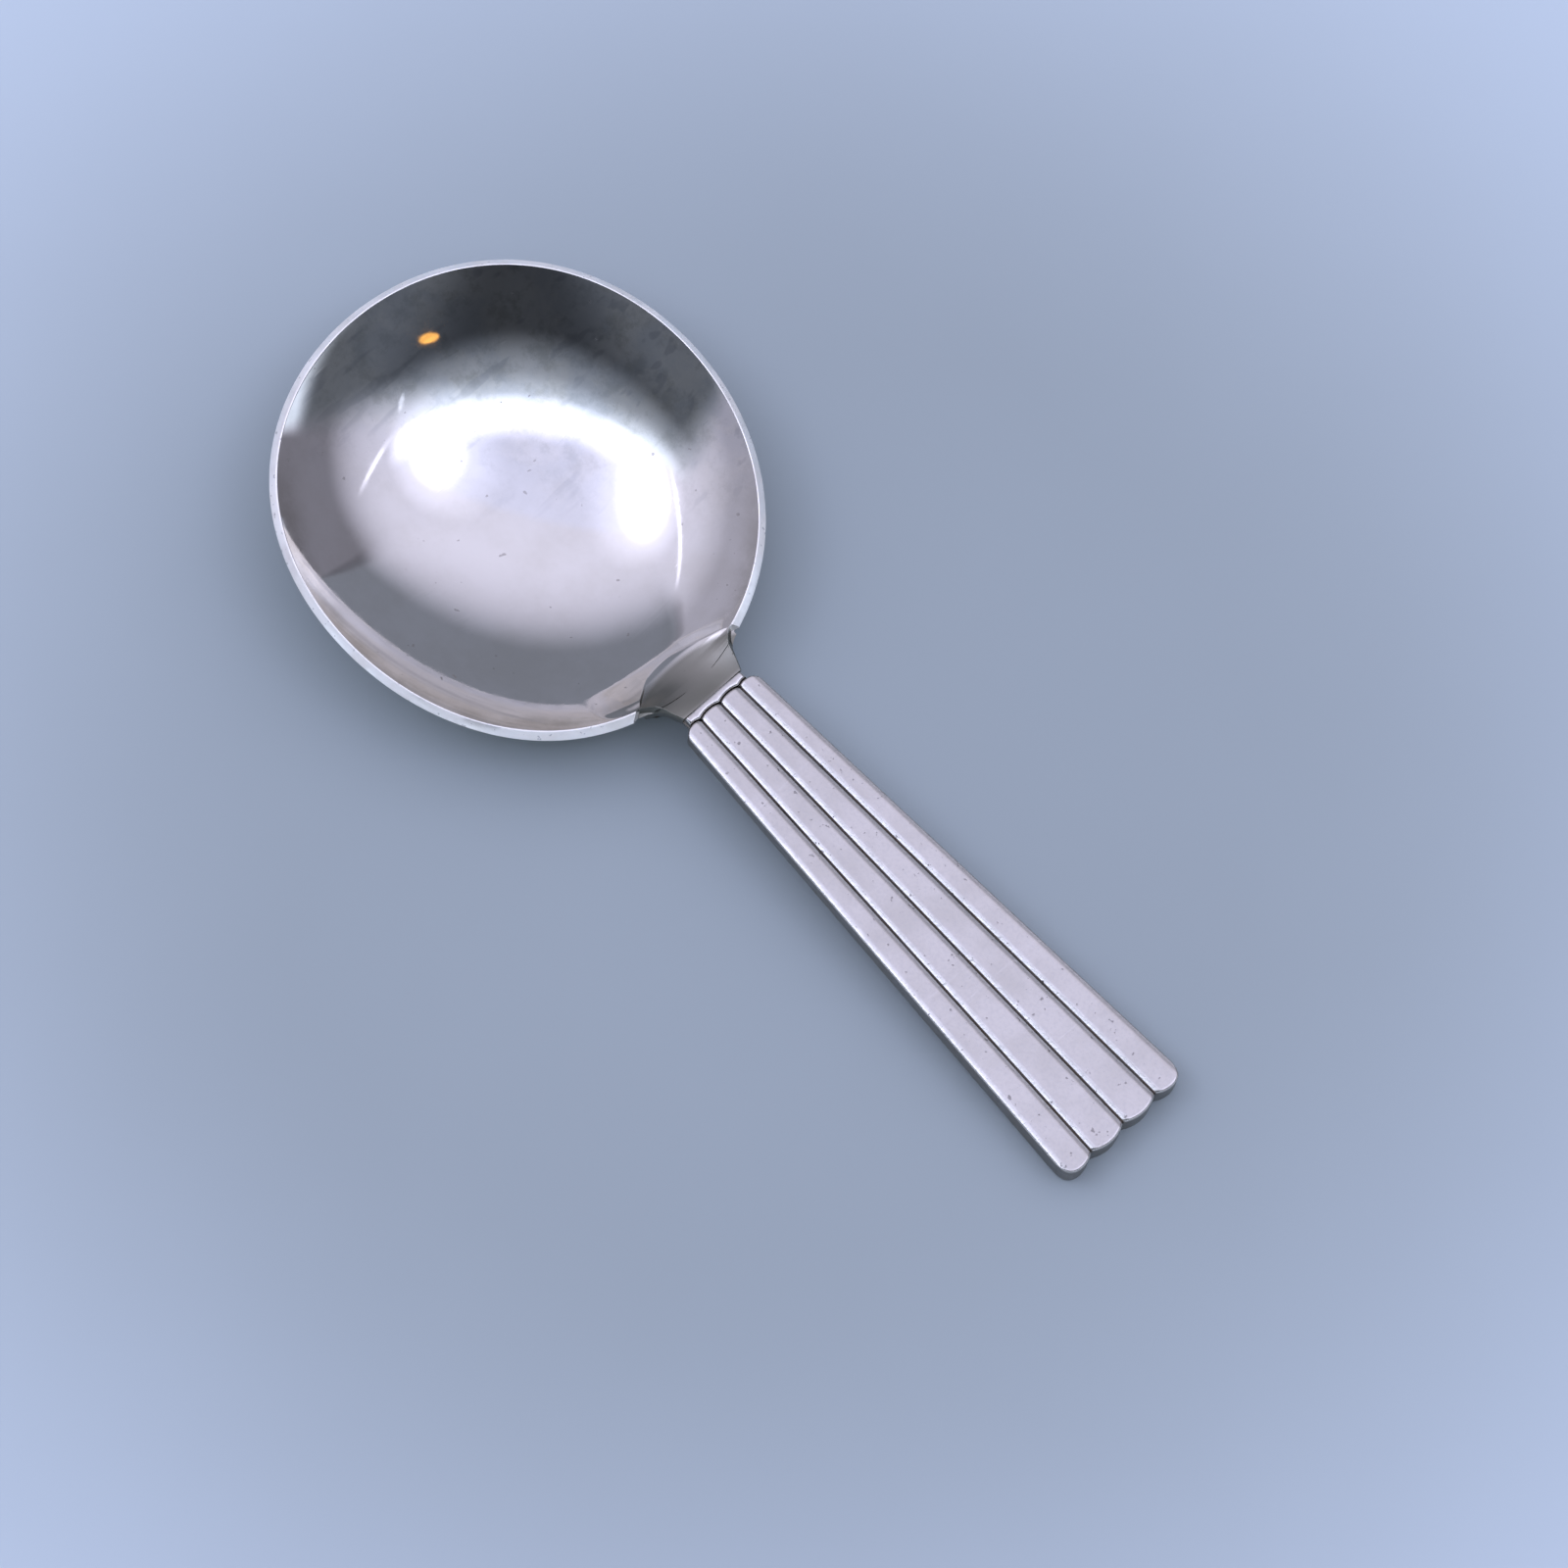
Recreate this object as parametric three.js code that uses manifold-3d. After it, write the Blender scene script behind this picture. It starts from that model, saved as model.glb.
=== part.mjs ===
// A silver caddy spoon: a raised bowl, a forged neck, a collar and a ribbed handle.
// Millimetres, +Z up, lying on a table. X runs from the bowl to the handle's end.
// The pieces are drawn in the spoon's own plane first: its z is zero at the top of the rim and of the
// ribs, and its x is zero at the widest part of the bowl. Then the whole spoon is tilted until it rests.

import * as THREE from 'three';
import { mergeVertices } from 'three/addons/utils/BufferGeometryUtils.js';
import Module from 'manifold-3d';

// Bowl
const bowlLength = 48; // over the rim, along the handle
const bowlWidth = 44.2; // over the rim, across
const bowlDepth = 9; // from the rim's outer edge down to the underside
const sheetThickness = 1;
const tipFullnessShare = 0.028; // the tip half is this much fuller than the neck half
const squareEndShare = 0.038; // both ends of the outline are this much squarer than an ellipse

// Neck
const neckWidth = 6.9; // at the collar
const neckFlareWidth = 12.7; // where it meets the rim
const neckFlareReach = 2.65; // along x, from the neck's front edge to the widest part of its flare
const neckThickness = 2.25;
const neckUndersideRadius = 18; // across the spoon
const heelReach = 4.6; // how far the heel runs under the bowl from the widest part of the flare
const heelTipThickness = 0.6; // below the bowl's wall
const rampAngle = THREE.MathUtils.degToRad(22.5); // slope of the neck's top, down into the bowl
const rampDrop = 0.2; // top of the ramp, below the rim's plane
const rampFloorWidth = 9.2;
const rampFillet = 1.4;

// Collar
const collarOffset = 1.85; // from the bowl's end on the axis to the collar's front edge
const collarLength = 0.87; // along x, over the middle ribs
const collarWidth = 7;
const collarThickness = 0.8;
const collarDrop = 0.08; // its top, below the ribs
const collarRounding = 0.22;

// Handle
const handleLength = 54.3; // between the ends of the middle ribs
const handleStartWidth = 8.9;
const handleEndWidth = 14.6;
const handleStartThickness = 2.3;
const handleEndThickness = 3.2;
const ribStartWidth = 2.4; // a middle rib at the neck
const ribEndWidth = 4; // a middle rib at the handle's end
const ribStartBulge = 0.22; // a rib's rounded end at the neck, beyond its grooves
const ribEndBulge = 0.6; // the same at the handle's end
const startCorner = 1.1; // outer corners of the handle at the neck
const endCorner = 1.7; // outer corners of the handle at its end
const grooveWidth = 0.9;
const grooveDepth = 0.42;
const grooveShoulder = 0.2; // rounding where a groove meets a rib
const topEdgeRadius = 0.45;
const bottomEdgeRadius = 0.4;

// Tongue that joins neck and handle
const tongueWidth = 3.4;
const tongueThickness = 0.6;
const tongueLength = 5; // beyond the neck's back
const tongueRoot = 1; // inside the neck

// Fits and fineness
const seamGap = 0.3; // between neighbouring pieces
const overrun = 3; // how far a cutting shape runs past what it cuts
const bowlTurns = 80;
const bowlRings = 13;
const curveSteps = 6;
const shoulderSteps = 2;
const undersideSteps = 12;
const tiltSteps = 40;

// Colours
const polishedSilver = 0xd4d4d8;
const satinSilver = 0xdcdae2;

// Sizes that follow from the ones above
const halfLength = bowlLength / 2;
const halfWidth = bowlWidth / 2;
const bowlRadius = (halfWidth ** 2 + bowlDepth ** 2) / (2 * bowlDepth);
const wallAngle = Math.asin(halfWidth / bowlRadius);
const rimRise = sheetThickness * Math.cos(wallAngle);
const bowlCentreHeight = bowlRadius - bowlDepth - rimRise;
const collarFront = halfLength + collarOffset;
const handleStart = collarFront + collarLength;
const handleEnd = handleStart + handleLength;
const grooveStart = handleStart + ribStartBulge;
const grooveEnd = handleEnd - ribEndBulge;
const seatHeight = -(collarDrop + collarThickness + seamGap);

const wasm = await Module();
wasm.setup();

// Turns a closed three.js geometry into a solid that can be cut and joined.
function solidOf(geometry) {
  const bare = geometry.clone();
  bare.deleteAttribute('normal');
  bare.deleteAttribute('uv');
  const merged = mergeVertices(bare);
  const corners = merged.index.array;
  const triangles = [];
  for (let i = 0; i < corners.length; i += 3) {
    const [a, b, c] = [corners[i], corners[i + 1], corners[i + 2]];
    if (a !== b && b !== c && c !== a) {
      triangles.push(a, b, c);
    }
  }
  const vertProperties = Float32Array.from(merged.attributes.position.array);
  const triVerts = Uint32Array.from(triangles);
  return new wasm.Manifold(new wasm.Mesh({ numProp: 3, vertProperties, triVerts }));
}

function geometryOf(solid) {
  const mesh = solid.getMesh();
  const geometry = new THREE.BufferGeometry();
  geometry.setAttribute('position', new THREE.BufferAttribute(mesh.vertProperties, 3));
  geometry.setIndex(new THREE.BufferAttribute(mesh.triVerts, 1));
  geometry.computeVertexNormals();
  return geometry;
}

// A shape in plan, raised from the lower to the upper height.
function raisePlan(shape, low, high) {
  const geometry = new THREE.ExtrudeGeometry(shape, {
    depth: high - low,
    bevelEnabled: false,
    curveSegments: curveSteps,
  });
  geometry.translate(0, 0, low);
  return solidOf(geometry);
}

// A shape drawn with x along the spoon and y as height, carried across the spoon.
function carryAcross(shape, width) {
  const geometry = new THREE.ExtrudeGeometry(shape, {
    depth: width,
    bevelEnabled: false,
    curveSegments: curveSteps,
  });
  geometry.translate(0, 0, -width / 2);
  geometry.rotateX(Math.PI / 2);
  return solidOf(geometry);
}

// Bowl

// Lays a turned, circular form out on the bowl's outline. The wall keeps its slope and thickness.
function stretchToOutline(geometry) {
  const place = geometry.attributes.position;
  for (let i = 0; i < place.count; i += 1) {
    const share = Math.hypot(place.getX(i), place.getY(i)) / halfWidth;
    const turn = Math.atan2(place.getY(i), place.getX(i));
    const along = Math.cos(turn);
    const fullness = 1 - tipFullnessShare * along + squareEndShare * along ** 2;
    place.setX(i, share * halfLength * along);
    place.setY(i, share * halfWidth * fullness * Math.sin(turn));
  }
  return geometry;
}

function turnProfile(profile) {
  const geometry = new THREE.LatheGeometry(profile, bowlTurns);
  geometry.rotateX(Math.PI / 2);
  return stretchToOutline(geometry);
}

// Points on a round wall, from the middle of the bowl out to its rim.
function wallProfile(radius) {
  const points = [];
  for (let ring = 0; ring <= bowlRings; ring += 1) {
    const slope = (wallAngle * ring) / bowlRings;
    points.push(new THREE.Vector2(radius * Math.sin(slope), bowlCentreHeight - radius * Math.cos(slope)));
  }
  return points;
}

function bowlShell() {
  const outside = wallProfile(bowlRadius);
  const inside = wallProfile(bowlRadius - sheetThickness).reverse();
  return solidOf(turnProfile([...outside, ...inside]));
}

// The space that the bowl takes up, grown by the seam's gap and open at the top.
function bowlSpace() {
  const outside = wallProfile(bowlRadius + seamGap);
  const edge = outside[outside.length - 1];
  const top = [new THREE.Vector2(edge.x, overrun), new THREE.Vector2(0, overrun)];
  return solidOf(turnProfile([...outside, ...top]));
}

// The sloping channel that opens the rim towards the neck and is the top of the neck.
function rampChannel() {
  const floor = rampFloorWidth / 2;
  const rise = overrun * 2;
  const section = new THREE.Shape();
  section.moveTo(-floor - rise, rise);
  section.lineTo(-floor - rampFillet, rampFillet);
  section.quadraticCurveTo(-floor, 0, -floor + rampFillet, 0);
  section.lineTo(floor - rampFillet, 0);
  section.quadraticCurveTo(floor, 0, floor + rampFillet, rampFillet);
  section.lineTo(floor + rise, rise);
  const reach = collarOffset + neckFlareReach + heelReach + overrun;
  const geometry = new THREE.ExtrudeGeometry(section, {
    depth: reach + overrun,
    bevelEnabled: false,
    curveSegments: curveSteps,
  });
  geometry.rotateX(Math.PI / 2);
  geometry.rotateZ(Math.PI / 2);
  geometry.translate(-reach, 0, 0);
  geometry.rotateY(-rampAngle);
  geometry.translate(collarFront, 0, -rampDrop);
  return solidOf(geometry);
}

// Neck

const rampTop = collarFront - seamGap;
const neckBack = handleStart - seamGap;
const flareX = rampTop - neckFlareReach;

// The neck in plan: its flare outside the rim and its rounded heel under the bowl.
function neckPlan() {
  const waist = neckWidth / 2;
  const flare = neckFlareWidth / 2;
  const plan = new THREE.Shape();
  plan.moveTo(neckBack, -waist);
  plan.lineTo(neckBack, waist);
  plan.lineTo(rampTop, waist);
  plan.quadraticCurveTo(flareX + neckFlareReach / 3, waist + neckFlareReach / 5, flareX, flare);
  plan.absellipse(flareX, 0, heelReach, flare, Math.PI / 2, (Math.PI * 3) / 2, false, 0);
  plan.quadraticCurveTo(flareX + neckFlareReach / 3, -waist - neckFlareReach / 5, rampTop, -waist);
  return plan;
}

// The neck from the side: the seat for the collar, and the underside that sweeps down until it runs
// along the bowl's wall.
function neckSide() {
  const heelTip = flareX - heelReach;
  const tipRadius = (heelTip / halfLength) * halfWidth;
  const tipDrop = Math.sqrt(bowlRadius ** 2 - tipRadius ** 2);
  const wallSlope = (tipRadius / tipDrop) * (halfWidth / halfLength);
  const tipHeight = bowlCentreHeight - tipDrop - heelTipThickness;
  const bendX = heelTip - (neckThickness + tipHeight) / wallSlope;
  const side = new THREE.Shape();
  side.moveTo(rampTop, 0);
  side.lineTo(rampTop, seatHeight);
  side.lineTo(neckBack, seatHeight);
  side.lineTo(neckBack, -neckThickness);
  side.quadraticCurveTo(bendX, -neckThickness, heelTip, tipHeight);
  side.lineTo(heelTip, 0);
  return side;
}

// The neck's side view carried across the spoon, with an underside that is round across.
function neckBlank() {
  const geometry = new THREE.ExtrudeGeometry(neckSide(), {
    depth: neckFlareWidth,
    steps: undersideSteps,
    bevelEnabled: false,
    curveSegments: 2 * curveSteps,
  });
  geometry.translate(0, 0, -neckFlareWidth / 2);
  geometry.rotateX(Math.PI / 2);
  const place = geometry.attributes.position;
  const middleHeight = (seatHeight - neckThickness) / 2;
  for (let i = 0; i < place.count; i += 1) {
    if (place.getZ(i) < middleHeight) {
      place.setZ(i, place.getZ(i) + place.getY(i) ** 2 / (2 * neckUndersideRadius));
    }
  }
  return solidOf(geometry);
}

// A flat tongue as wide, thick and long as the neck's, grown by a clearance on every side.
function tongue(clearance) {
  const length = tongueRoot + tongueLength + clearance;
  const width = tongueWidth + 2 * clearance;
  const thickness = tongueThickness + 2 * clearance;
  const geometry = new THREE.BoxGeometry(length, width, thickness);
  geometry.translate(neckBack - tongueRoot + length / 2, 0, seatHeight - tongueThickness / 2);
  return solidOf(geometry);
}

function neckSolid() {
  const body = raisePlan(neckPlan(), -overrun * 3, overrun).intersect(neckBlank());
  return body.subtract(bowlSpace()).subtract(rampChannel()).add(tongue(0));
}

// Handle

// A straight change of size along the handle, between the ends of its grooves.
function alongHandle(x, atStart, atEnd) {
  return atStart + ((atEnd - atStart) * (x - grooveStart)) / (grooveEnd - grooveStart);
}

function handleHalfWidth(x) {
  return alongHandle(x, handleStartWidth, handleEndWidth) / 2;
}

function ribWidth(x) {
  return alongHandle(x, ribStartWidth, ribEndWidth);
}

// Half of the handle's outline at the neck, from the axis out to the side, pushed back by a gap.
function traceStart(path, side, gap) {
  const rib = ribWidth(grooveStart) * side;
  const corner = grooveStart - gap + startCorner;
  const edge = handleHalfWidth(corner) * side;
  path.moveTo(grooveStart - gap, 0);
  path.quadraticCurveTo(grooveStart - gap - 2 * ribStartBulge, rib / 2, grooveStart - gap, rib);
  path.bezierCurveTo(
    grooveStart - gap - 1.5 * ribStartBulge, rib + (edge - rib) / 3,
    grooveStart - gap - ribStartBulge, edge,
    corner, edge,
  );
}

// Half of the handle's outline at its end, from the axis out to the side.
function traceEnd(path, side) {
  const rib = ribWidth(grooveEnd) * side;
  const corner = grooveEnd - endCorner + ribEndBulge;
  const edge = handleHalfWidth(corner) * side;
  path.moveTo(grooveEnd, 0);
  path.quadraticCurveTo(grooveEnd + 2 * ribEndBulge, rib / 2, grooveEnd, rib);
  path.bezierCurveTo(
    grooveEnd + 1.5 * ribEndBulge, rib + (edge - rib) / 3,
    grooveEnd + 1.5 * ribEndBulge, edge,
    corner, edge,
  );
}

function tracePoints(trace, side, gap) {
  const path = new THREE.Path();
  trace(path, side, gap);
  return path.getPoints(curveSteps);
}

function handlePlan() {
  return new THREE.Shape([
    ...tracePoints(traceStart, 1, 0).slice(1),
    ...tracePoints(traceEnd, 1, 0).reverse(),
    ...tracePoints(traceEnd, -1, 0).slice(1),
    ...tracePoints(traceStart, -1, 0).reverse(),
  ]);
}

// Points of a quarter turn, from one angle on, about a centre.
function quarterTurn(centreY, centreZ, radius, from, steps) {
  const points = [];
  for (let i = 0; i <= steps; i += 1) {
    const angle = from + ((Math.PI / 2) * i) / steps;
    points.push([centreY + radius * Math.cos(angle), centreZ + radius * Math.sin(angle)]);
  }
  return points;
}

// One groove, from its right shoulder over its bottom to its left shoulder.
function groovePoints(centre) {
  const half = grooveWidth / 2;
  const points = [];
  for (const side of [1, -1]) {
    const shoulder = [];
    for (let i = 0; i <= shoulderSteps; i += 1) {
      const share = i / shoulderSteps;
      const drop = grooveShoulder * (grooveDepth / half) * share ** 2 * 0.5;
      shoulder.push([centre + side * (half + grooveShoulder / 2 - grooveShoulder * share), -drop]);
    }
    points.push(...(side === 1 ? shoulder : shoulder.reverse()));
    if (side === 1) {
      points.push([centre, -grooveDepth]);
    }
  }
  return points;
}

// The handle's section at x, as a loop of [y, z] points that runs over the top from right to left.
function ribSection(x) {
  const edge = handleHalfWidth(x);
  const rib = ribWidth(x);
  const low = -alongHandle(x, handleStartThickness, handleEndThickness);
  const top = edge - topEdgeRadius;
  const bottom = edge - bottomEdgeRadius;
  return [
    ...quarterTurn(bottom, low + bottomEdgeRadius, bottomEdgeRadius, -Math.PI / 2, curveSteps / 2),
    ...quarterTurn(top, -topEdgeRadius, topEdgeRadius, 0, curveSteps / 2),
    ...groovePoints(rib),
    ...groovePoints(0),
    ...groovePoints(-rib),
    ...quarterTurn(-top, -topEdgeRadius, topEdgeRadius, Math.PI / 2, curveSteps / 2),
    ...quarterTurn(-bottom, low + bottomEdgeRadius, bottomEdgeRadius, Math.PI, curveSteps / 2),
  ];
}

// A straight loft between the sections at two stations along x.
function loft(section, fromX, toX) {
  const first = section(fromX);
  const last = section(toX);
  const count = first.length;
  const positions = [];
  for (const [y, z] of first) {
    positions.push(fromX, y, z);
  }
  for (const [y, z] of last) {
    positions.push(toX, y, z);
  }
  const index = [];
  for (let i = 0; i < count; i += 1) {
    const next = (i + 1) % count;
    index.push(i, next, count + next, i, count + next, count + i);
  }
  const outline = first.map(([y, z]) => new THREE.Vector2(y, z));
  for (const [a, b, c] of THREE.ShapeUtils.triangulateShape(outline, [])) {
    index.push(a, c, b, count + a, count + b, count + c);
  }
  const geometry = new THREE.BufferGeometry();
  geometry.setAttribute('position', new THREE.Float32BufferAttribute(positions, 3));
  geometry.setIndex(index);
  return solidOf(geometry);
}

function handleSolid() {
  const bar = loft(ribSection, handleStart - overrun, handleEnd + overrun);
  const outline = raisePlan(handlePlan(), -handleEndThickness - overrun, overrun);
  return bar.intersect(outline).subtract(tongue(seamGap));
}

// Collar

// The collar in plan: straight in front, and scalloped behind to follow the rib ends.
function collarPlan() {
  const half = collarWidth / 2;
  const ribEnds = [
    ...tracePoints(traceStart, -1, seamGap).reverse(),
    ...tracePoints(traceStart, 1, seamGap).slice(1),
  ];
  const back = ribEnds.filter((point) => Math.abs(point.y) < half);
  return new THREE.Shape([
    new THREE.Vector2(collarFront, half),
    new THREE.Vector2(collarFront, -half),
    new THREE.Vector2(back[0].x, -half),
    ...back,
    new THREE.Vector2(back[0].x, half),
  ]);
}

// The collar from the side, with its upper edges rounded.
function collarSide() {
  const low = seatHeight + seamGap;
  const top = -collarDrop;
  const side = new THREE.Shape();
  side.moveTo(collarFront, low);
  side.lineTo(grooveStart, low);
  side.lineTo(grooveStart, top);
  side.lineTo(collarFront + collarRounding, top);
  side.quadraticCurveTo(collarFront, top, collarFront, top - collarRounding);
  return side;
}

function collarSolid() {
  const band = raisePlan(collarPlan(), -overrun, overrun);
  return band.intersect(carryAcross(collarSide(), collarWidth + overrun));
}

// Assembly

function silver(color, roughness) {
  return new THREE.MeshStandardMaterial({ color, roughness, metalness: 1 });
}

function namedMesh(name, solid, material) {
  const mesh = new THREE.Mesh(geometryOf(solid), material);
  mesh.name = name;
  return mesh;
}

// The lowest height that a mesh reaches when the spoon is tilted about its Y axis.
function lowestAt(mesh, tilt) {
  const place = mesh.geometry.attributes.position;
  let lowest = Infinity;
  for (let i = 0; i < place.count; i += 1) {
    lowest = Math.min(lowest, place.getZ(i) * Math.cos(tilt) - place.getX(i) * Math.sin(tilt));
  }
  return lowest;
}

// The tilt at which the bowl's bottom and the handle's end touch the table together.
function restTilt(bowl, handle) {
  let low = 0;
  let high = Math.PI / 4;
  for (let step = 0; step < tiltSteps; step += 1) {
    const tilt = (low + high) / 2;
    if (lowestAt(bowl, tilt) < lowestAt(handle, tilt)) {
      low = tilt;
    } else {
      high = tilt;
    }
  }
  return (low + high) / 2;
}

const bowl = namedMesh('bowl', bowlShell().subtract(rampChannel()), silver(polishedSilver, 0.18));
const neck = namedMesh('neck', neckSolid(), silver(polishedSilver, 0.2));
const collar = namedMesh('collar', collarSolid(), silver(satinSilver, 0.35));
const handle = namedMesh('handle', handleSolid(), silver(satinSilver, 0.42));

const spoon = new THREE.Group();
spoon.add(bowl, neck, collar, handle);
spoon.rotation.y = restTilt(bowl, handle);

const part = new THREE.Group();
part.add(spoon);
part.updateMatrixWorld(true);
const box = new THREE.Box3().setFromObject(spoon, true);
const middle = box.getCenter(new THREE.Vector3());
spoon.position.set(-middle.x, -middle.y, -box.min.z);

export default part;
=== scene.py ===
"""Looks of a silver caddy spoon: bowl, neck, collar and ribbed handle, on a pale blue-grey table.

Shapes are drawn in millimetres in the spoon's own plane, as in the CAD: z is zero at the inner
edge of the rim and at the rib tops, and x is zero at the widest part of the bowl. place() tilts
them to rest.
"""

import math

import bmesh
import bpy
import numpy as np
from mathutils import Matrix, Vector


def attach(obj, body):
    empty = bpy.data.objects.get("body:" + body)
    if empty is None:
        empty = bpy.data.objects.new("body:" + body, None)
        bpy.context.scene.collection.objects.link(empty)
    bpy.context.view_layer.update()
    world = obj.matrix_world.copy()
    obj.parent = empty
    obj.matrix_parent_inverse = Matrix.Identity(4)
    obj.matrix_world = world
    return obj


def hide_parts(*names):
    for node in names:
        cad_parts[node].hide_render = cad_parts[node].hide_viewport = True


# Camera, with its target and distance in metres
CAMERA_AZIMUTH = math.radians(46.8521)
CAMERA_ELEVATION = math.radians(69.5346)
CAMERA_DISTANCE = 0.6334308
CAMERA_TARGET = (0.0062039, 0.0007357, 0.0)
CAMERA_LENS = 157.5

# The spoon's own plane, laid on the table
TILT = 0.08148097853016986
SHIFT = (-28.386292223688557, 0.0, 9.793733257548883)
MILLIMETRE = 0.001
MERGE_DISTANCE = 1e-7

# Bowl, where HAND_RAISED holds amounts and how often each repeats round the bowl
HALF_LENGTH = 24.0
HALF_WIDTH = 22.1
BOWL_DEPTH = 9.0
SHEET = 1.0
TIP_FULLNESS = 0.028
SQUARE_END = 0.038
HAND_RAISED = ((-0.003, 1), (-0.0095, 2), (-0.0048, 3), (-0.0012, 4))
OUTER_RADIUS = (HALF_WIDTH**2 + BOWL_DEPTH**2) / (2 * BOWL_DEPTH)
INNER_RADIUS = OUTER_RADIUS - SHEET
WALL_ANGLE = math.asin(HALF_WIDTH / OUTER_RADIUS)
CENTRE_HEIGHT = OUTER_RADIUS - BOWL_DEPTH - SHEET * math.cos(WALL_ANGLE)
INNER_EDGE = INNER_RADIUS * math.sin(WALL_ANGLE)
INNER_EDGE_RADIUS = 0.1
OUTER_EDGE_RADIUS = 0.14
LAND_CROWN = 0.012
DENSE_ANGLE = 0.62

# Neck. In each pair of rows, the first holds places and the second the values there.
NECK_SIDE = 15.0
RIDGE = (
    (20.4, 21.0, 21.55, 22.1, 22.5, 22.85, 23.2, 23.9, 24.7, 25.4, 25.9, 27.0),
    (7.2, 6.9, 6.5, 6.05, 5.42, 4.95, 4.6, 4.25, 4.0, 3.72, 3.5, 3.45),
)
TROUGH_MIDDLE = ((21.5, 22.1, 22.5, 23.2, 24.0), (-0.6, -0.45, -0.33, -0.1, 0.0))
NECK_OUTLINE = (
    (22.5, 22.8, 23.05, 23.35, 23.7, 24.1, 24.6, 25.2, 25.9, 27.0),
    (6.6, 6.1, 5.5, 4.98, 4.62, 4.36, 4.14, 3.92, 3.62, 3.52),
)
BANK_FOOT = ((-9, -6, -3.5, -1, 1.7, 4.5, 7.1), (17.8, 18.3, 18.6, 18.85, 19.1, 20.1, 21.0))
BANK_SLOPE = ((-9, -6.5, -3.5, 3, 5, 7), (0, 0.10, 0.14, 0.14, 0.09, 0))
RAMP_SLOPE = 0.345
RAMP_TOP = -0.2
RIDGE_DROP = 0.08
SKIRT_SLOPE = 2.0
SKIRT_DROP = 0.85
SKIRT_FALL = 0.2
RIDGE_ROUND = 0.1
CHANNEL_START = 17.0
NOTCH_TURN = 0.6
LIP_STEP = 0.03
RIGHT_END = (22.35, 5.76, 0.687, 0.727)
LEFT_END = (22.61, 6.13, 0.576, 0.817)
COLLAR_FRONT = 25.85
NECK_BACK = 26.75
FLARE_X = 22.9
HEEL_REACH = 4.6
HEEL_TUCK = 0.2
UNDER_BACK = 26.42
UNDER_HEIGHT = -2.25
LEAST_THICKNESS = 0.05
SEAT = -1.0

# Handle
GROOVE_START = 26.94
GROOVE_END = 80.42
HALF_WIDTHS = (4.45, 7.3)
RIB_WIDTHS = (2.4, 4.0)
THICKNESSES = (2.3, 3.2)
START_BULGE = 0.22
END_BULGE = 0.6
BOTTOM_EDGE = 0.4
START_RADIUS = 0.2
END_RADIUS = 0.28
END_STATIONS = (0, 0.02, 0.05, 0.09, 0.14, 0.2, 0.28, 0.4)
GROOVE_LINES = (0.0, 0.05, 0.09, 0.13, 0.2, 0.3, 0.4, 0.5, 0.58, 0.65, 0.72, 0.84)
EDGE_LINES = (0.0, 0.015, 0.04, 0.08, 0.16, 0.26, 0.37, 0.47, 0.58)
GROOVE_DEPTH = ((0, 0.05, 0.09, 0.13, 0.5, 0.58, 0.68), (0.44, 0.38, 0.26, 0.185, 0.03, 0.008, 0))
EDGE_DEPTH = ((0, 0.015, 0.04, 0.08, 0.47, 0.58), (0.36, 0.27, 0.21, 0.18, 0.03, 0))

# Collar
COLLAR_HALF_WIDTH = 3.5
COLLAR_END = 0.32
COLLAR_GAP = 0.13
COLLAR_FOOT = -0.42
COLLAR_RISE = 0.37
COLLAR_BOTTOM = -1.02

# Colours. A pair holds the two colours between which a cloud varies.
POLISHED = ((0.60, 0.565, 0.505), (0.65, 0.615, 0.56))
# Tarnished colours that also paint dark reflection, laid only on the bowl's far side.
OLIVE_STAIN_AND_DARK_REFLECTION = (0.34, 0.33, 0.28)
BLUE_BLOTCH_AND_DARK_REFLECTION = (0.40, 0.42, 0.44)
GREY_STREAK_AND_DARK_REFLECTION = (0.33, 0.33, 0.33)
DARK_SPECK = (0.16, 0.14, 0.12)
# Painted reflection with a warm film: darker, warmer olive-tan mottling near the rim, on the near
# side only.
RIM_FILM_AND_REFLECTION = (0.42, 0.39, 0.335)
# Painted dark reflection with tarnished dullness, on the neck's ramp.
DULL_RAMP_AND_DARK_REFLECTION = ((0.170, 0.164, 0.130), (0.195, 0.185, 0.150))
SATIN = ((0.485, 0.448, 0.40), (0.545, 0.503, 0.455))
BRIGHT_EDGE = (0.60, 0.57, 0.515)
DARK_GRAIN = (0.40, 0.38, 0.36)
DARK_PIT = (0.18, 0.16, 0.15)
# Tarnished colours that also paint shade in the grooves and on the handle's sides.
GREY_TARNISH_AND_SHADE = ((0.15, 0.145, 0.135), (0.27, 0.26, 0.24))
BROWN_TARNISH_AND_SHADE = (0.20, 0.175, 0.145)
WORN = ((0.92, 0.87, 0.78), (1.0, 0.96, 0.88))
DARK_NICK = (0.30, 0.28, 0.27)
# Painted light falloff: the table runs from the first colour round the spoon to the lighter second
# towards its edges.
TABLE = ((0.352, 0.395, 0.388), (0.61, 0.69, 0.71))
TABLE_HALF_SIDE = 30.0
TABLE_SHADE = (0.006, 0.042, 0.132)

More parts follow.
